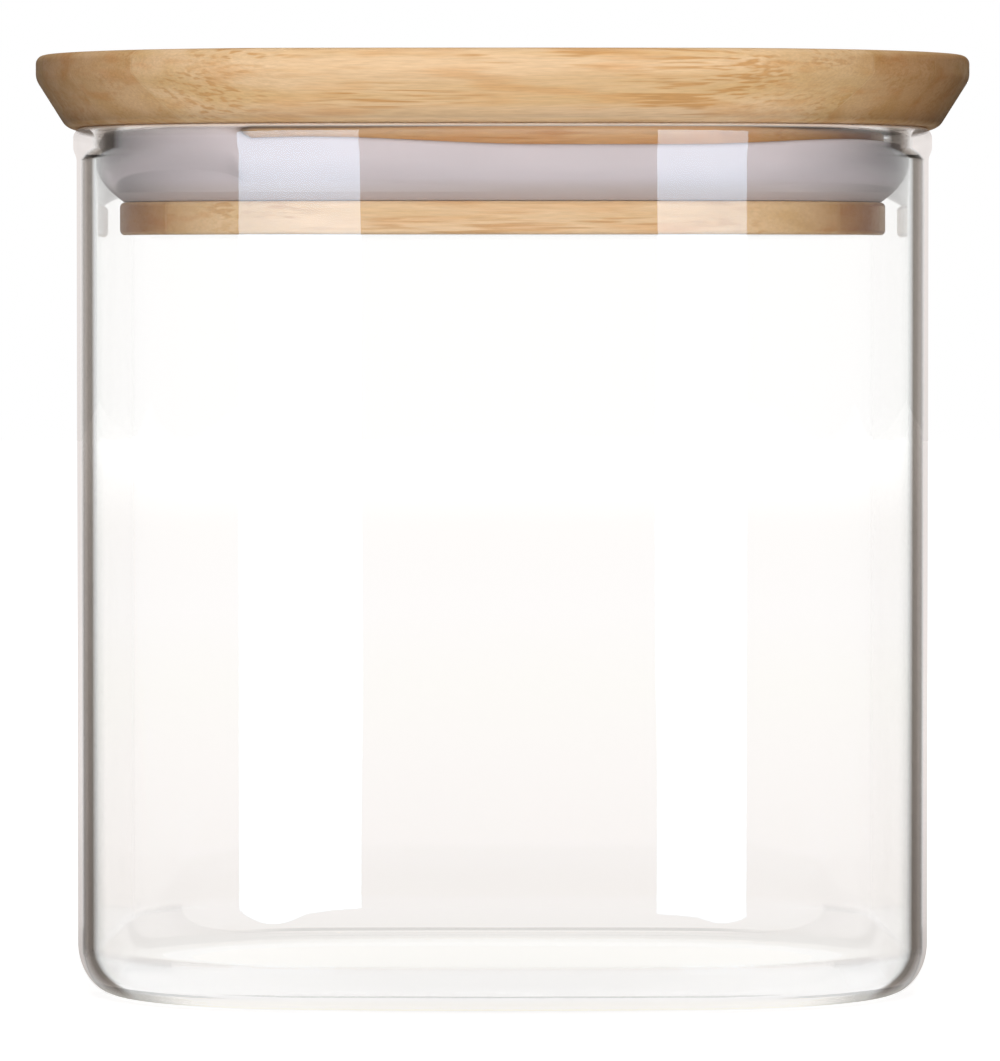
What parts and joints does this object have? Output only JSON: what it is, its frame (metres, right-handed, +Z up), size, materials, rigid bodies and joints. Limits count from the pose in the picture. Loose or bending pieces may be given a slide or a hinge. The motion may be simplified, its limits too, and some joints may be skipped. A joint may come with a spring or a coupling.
{
  "type": "storage jar",
  "caption": "Clear glass storage jar, a rounded square in plan, with a lift-off bamboo lid, a plug under the lid and a silicone lip seal.",
  "frame": {"origin": "on the jar's upright axis, in the plane of the foot ring that it stands on", "axes": "+Z up along the jar's axis, the way the lid lifts; +X and +Y square to two neighbouring sides, with the pictured side facing -Y"},
  "size_m": [0.1094, 0.1094, 0.1087],
  "materials": {
    "clear_glass": "clear fire-polished borosilicate",
    "bamboo_board": "sanded bamboo, thin satin oil",
    "bamboo_plug": "sanded bamboo, thin satin oil",
    "pale_silicone": "soft satin, slightly translucent"
  },
  "bodies": {
    "jar": {"glass_jar": "clear_glass"},
    "lid": {"lid_board": "bamboo_board", "lid_plug": "bamboo_plug", "seal_ring": "pale_silicone"}
  },
  "joints": [
    {"name": "lid_lift", "type": "slide", "parent": "jar", "child": "lid", "axis": [0, 0, 1], "range_m": [0, 0.06]}
  ]
}
